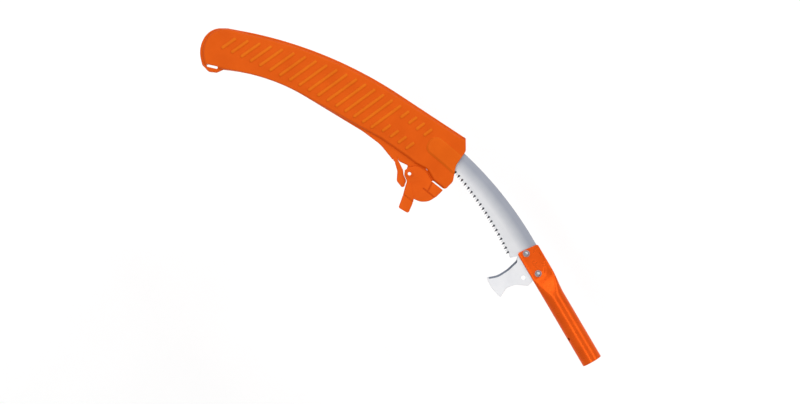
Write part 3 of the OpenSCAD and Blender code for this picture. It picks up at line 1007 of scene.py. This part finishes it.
def shell_points():
    """(points inside the shell's outline, the pairs that the body's foot joins)."""
    foot = split(BODY_SIDE, 1.2, False)
    free = inside(foot, SHELL_LOOP) & (distance(foot, SHELL_LOOP, True) > 0.3)
    place = np.cumsum(free) - 1
    creases = [(place[i], place[i + 1]) for i in range(len(foot) - 1) if free[i] and free[i + 1]]
    points, least, apart, from_grid = feature_points(), 0.05, 0.045, 1.1
    points = points[inside(points, SHELL_LOOP) & (distance(points, SHELL_LOOP, True) > least)]
    points = np.concatenate([foot[free], points[distance(points, BODY_SIDE) > least]])
    taken = KDTree(len(points))
    for i, p in enumerate(points):
        taken.insert((p[0], p[1], 0), i)
    taken.balance()
    keep = [p for i, p in enumerate(points)
            if i < free.sum() or not any(k < i for _, k, _ in taken.find_range((p[0], p[1], 0), apart))]
    keep += [p for p in plain_grid() if taken.find((p[0], p[1], 0))[2] > from_grid]
    return np.array(keep), creases


SHELL_LOOP = split(counter_clockwise(FLANGE_LOOP), EDGE_PITCH)
SHELL_INNER, BODY_FOOT = shell_points()


SPACE_HALF, SLOT_HALF, EYELET_R, ROOT_SEAT_R = 5.5, 3.0, 3.5, 3.9
SICKLE_SLOT = [(450, 10), (450, 20), (502, 20.3), (502, 10)]
HANGING_EYE, HANGING_EYE_W = ((651.4, 257.2), (660.6, 266.8)), 3.8


def scabbard_shell(name, node, side, channel_top, channel_deep):
    """One half of the scabbard: side is 1 for the front and -1 for the rear."""
    def height(xy):
        return side * shell_height(xy, channel_top)

    def cutter(loop, depth):
        return prism(loop, *sorted((-side, side * depth)))
    solid = Solid()
    top = solid.add(SHELL_LOOP, height(SHELL_LOOP))
    wall = solid.add(SHELL_LOOP, side * SEAM)
    seam = solid.add(inset(SHELL_LOOP, SEAM), 0)
    solid.band(seam, wall)
    solid.band(wall, top)
    solid.cap(seam)
    solid.cap(top, SHELL_INNER, height, BODY_FOOT)
    shell = new_object(name, solid)
    combine(shell, [cutter(space_loop(), SPACE_HALF),
                    cutter(np.array([arc_point(r, a) for r, a in SICKLE_SLOT]), SLOT_HALF),
                    cutter(channel_loop(0), channel_deep),
                    cutter(bar(*HANGING_EYE, HANGING_EYE_W), 20),
                    cutter(circle(PIVOT, EYELET_R), 20),
                    cutter(circle(ROOT, ROOT_SEAT_R), 20)])
    finish_piece(shell, name, node, "scabbard", [PLASTIC], 38)


def pivot_eyelet():
    """The flanged tube that the latch turns on, with rolled rims."""
    half = [(EYELET_R, 7.45), (3.6, 7.62), (5.1, 7.62), (5.3, 7.8), (5.25, 8.1), (4.9, 8.33), (4.2, 8.4),
            (3.2, 8.36), (2.75, 8.2), (2.5, 7.8)]
    profile = half + [(r, -z) for r, z in reversed(half)]
    finish_piece(lathe("eyelet", PIVOT, profile), "eyelet_rolled_rims", "pivot_eyelet", "scabbard",
                 [LATCH_PLASTIC], 40)


# ---- latch ----

CHEEK_IN, CHEEK_T, CHEEK_BORE_R = 4.3, 3.2, 3.55
THUMB_RIB_H, GROOVE_DEPTH, GROOVE_W = 0.55, 1.6, 2.2
NOSE_SIDE = [(327.6, 61.8, 1.5), (324.4, 74.6, 2), (323.9, 88.8, 20), (330.2, 99.7, 20), (338.3, 105.4, 0)]
TAB_SIDE = [(333, 110.8, 6), (324, 123, 3), (338.8, 131.2, 3), (352.4, 115, 0)]
EYE_SIDE = [(358, 109.5, 5), (366, 100.6, 5), (376, 99.6, 5), (381.6, 95, 3), (382, 86.5, 5),
            (377.5, 76.6, 8), (365, 69.3, 9), (347, 69.3, 4)]
NOSE_PAD = [(328.3, 62.8), (325.4, 74), (339.8, 79), (344, 69.3)]
THUMB_RIB = [(364.5, 100.2, 1.3), (357.3, 108.6, 2), (351.6, 114.2, 0.6), (336.2, 108.5, 0.6),
             (342.5, 103.4, 3), (362.5, 97.2, 1.3)]
NOSE_GROOVES = [((347.5, 66.5), (338.6, 80.2)), ((344.2, 85.2), (321.5, 76.8))]
SPRING_ARM = [(399.5, 96.2, 0), (400.2, 101.6, 0), (396, 102.8, 20), (386, 105.4, 6), (374, 113.5, 6),
              (358.5, 111.5, 3), (367, 101.2, 5), (376.5, 100.2, 3), (383, 97.2, 4)]


def latch_cheek(name, node, side, pad_depth):
    """A cheek with its raised thumb rib, the grooves that mark the nose off, and the nose pad."""
    def between(a, b):
        return sorted((side * a, side * b))
    outer = CHEEK_IN + CHEEK_T
    loop = rounded(NOSE_SIDE + [(335, 108.2, 0), (352.2, 114.6, 0)] + EYE_SIDE)
    radii = (0.15, 0.9) if side > 0 else (0.9, 0.15)
    cheek = plate(name, loop, *between(CHEEK_IN, outer), *radii)
    radii = (0.1, 0.3) if side > 0 else (0.3, 0.1)
    raised = plate("rib", rounded(THUMB_RIB), *between(outer - 1, outer + THUMB_RIB_H), *radii)
    pad = prism(np.array(NOSE_PAD), *between(pad_depth, CHEEK_IN + 1))
    combine(cheek, [raised, pad], "UNION")
    grooves = [prism(bar(a, b, GROOVE_W), *between(outer - GROOVE_DEPTH, outer + 2))
               for a, b in NOSE_GROOVES]
    combine(cheek, [prism(circle(PIVOT, CHEEK_BORE_R), -12, 12), *grooves])
    finish_piece(cheek, name, node, "latch", [LATCH_PLASTIC], 35)


def latch_thumb_lever():
    """The thumb tab and the core between the cheeks, outside the sickle's path."""
    inner, sickle_path_r = CHEEK_IN - 0.02, 464
    core = plate("core", rounded(NOSE_SIDE + TAB_SIDE + EYE_SIDE), -inner, inner, 0.1, 0.1)
    path = [arc_point(sickle_path_r, a) for a in np.arange(10, 30.1, 0.5)]
    combine(core, [prism(np.array(path + [arc_point(530, 30), arc_point(530, 10)]), -20, 20)])
    tab_loop = rounded([(335.6, 108.7, 0.7)] + TAB_SIDE[:3] + [(352.0, 114.8, 0.7)])
    half = CHEEK_IN + CHEEK_T + THUMB_RIB_H
    combine(core, [plate("tab", tab_loop, -half, half, 0.3, 0.3)], "UNION")
    finish_piece(core, "thumb_lever_tab", "latch_thumb_lever", "latch", [LATCH_PLASTIC], 35)


def latch_spring_arm():
    """The leaf spring: a round root in the flange's seat and a blade that thickens at the latch."""
    half, root_r = FLANGE_HALF - 0.2, 3.8
    arm = plate("arm", rounded(SPRING_ARM), -half, half, 0.5, 0.5, 2.0)
    combine(arm, [plate("root", circle(ROOT, root_r), -half, half, 0.2, 0.2)], "UNION")
    finish_piece(arm, "spring_arm_leaf", "latch_spring_arm", "spring_arm",
                 [LATCH_PLASTIC], 35)


# ---- stage ----

# The camera's aim and turn, its distance, and the width that the picture spans.
VIEW_CENTRE = Vector((0.3447, 0.125, 0.0))
VIEW_TURN = radians(-120.43)
VIEW_DISTANCE, VIEW_WIDTH, SENSOR = 3.2, 1.176, 36
PICTURE_RIGHT = Vector((cos(VIEW_TURN), sin(VIEW_TURN), 0))
PICTURE_UP = Vector((-sin(VIEW_TURN), cos(VIEW_TURN), 0))


def camera():
    """Straight above the object, and upright to it."""
    data = bpy.data.cameras.new("camera")
    data.sensor_width = SENSOR
    data.lens = SENSOR * VIEW_DISTANCE / VIEW_WIDTH
    data.clip_end = 50
    obj = linked("camera", data)
    obj.location = VIEW_CENTRE + Vector((0, 0, VIEW_DISTANCE))
    obj.rotation_euler = (0, 0, VIEW_TURN)
    bpy.context.scene.camera = obj


def area_light(name, size, power):
    """A rectangular light that the camera doesn't see."""
    data = bpy.data.lights.new(name, "AREA")
    data.shape, data.size, data.size_y, data.energy = "RECTANGLE", size[0], size[1], power
    obj = linked(name, data)
    obj.visible_camera = False
    return obj


def softbox(name, right, up, height, size, power):
    """An area light placed by the picture's own directions, aimed at the object."""
    obj = area_light(name, size, power)
    obj.location = VIEW_CENTRE + PICTURE_RIGHT * right + PICTURE_UP * up + Vector((0, 0, height))
    obj.rotation_mode = "QUATERNION"
    obj.rotation_quaternion = (VIEW_CENTRE - obj.location).to_track_quat("-Z", "Y")


def strip(name, lean, reach, width, power):
    """A long light over the tube, parallel to it and leaning towards the tooth side by an angle."""
    length, angle = 3.0, radians(lean)
    obj = area_light(name, (length, width), power)
    obj.location = (VIEW_CENTRE[0], reach * sin(angle), reach * cos(angle))
    obj.rotation_euler = (-angle, 0, 0)


def stage():
    """A pale floor far enough below the object to show no shadow, and soft studio light."""
    floor_z, half, glow = -0.45, 8, 0.70
    mesh = bpy.data.meshes.new("floor")
    mesh.from_pydata([(x * half, y * half, floor_z) for x, y in ((-1, -1), (1, -1), (1, 1), (-1, 1))],
                     [], [(0, 1, 2, 3)])
    mesh.materials.append(pale_floor("floor"))
    floor_obj = linked("floor", mesh)
    world = bpy.data.worlds.new("studio")
    world.use_nodes = True
    background = world.node_tree.nodes["Background"]
    background.inputs["Color"].default_value = (1, 1, 1, 1)
    background.inputs["Strength"].default_value = glow
    bpy.context.scene.world = world
    softbox("key", -0.3, 1.8, 2.2, (1.8, 1.2), 20)
    strip("strip_top", 11, 2.4, 0.36, 14)
    strip("strip_back", -47, 2.0, 0.4, 12)
    bpy.context.scene.view_settings.view_transform = "Standard"


pole_socket()
saw_blade()
sickle_plate()
fasteners()
scabbard_shell("shell_front_ribbed", "scabbard_front_shell", 1, 11.0, 8.6)
scabbard_shell("shell_rear_ribbed", "scabbard_rear_shell", -1, 15.0, 12.0)
pivot_eyelet()
latch_cheek("cheek_front_with_rib", "latch_front_cheek", 1, 0.6)
latch_cheek("cheek_rear_with_rib", "latch_rear_cheek", -1, 2.6)
latch_thumb_lever()
latch_spring_arm()
camera()
stage()
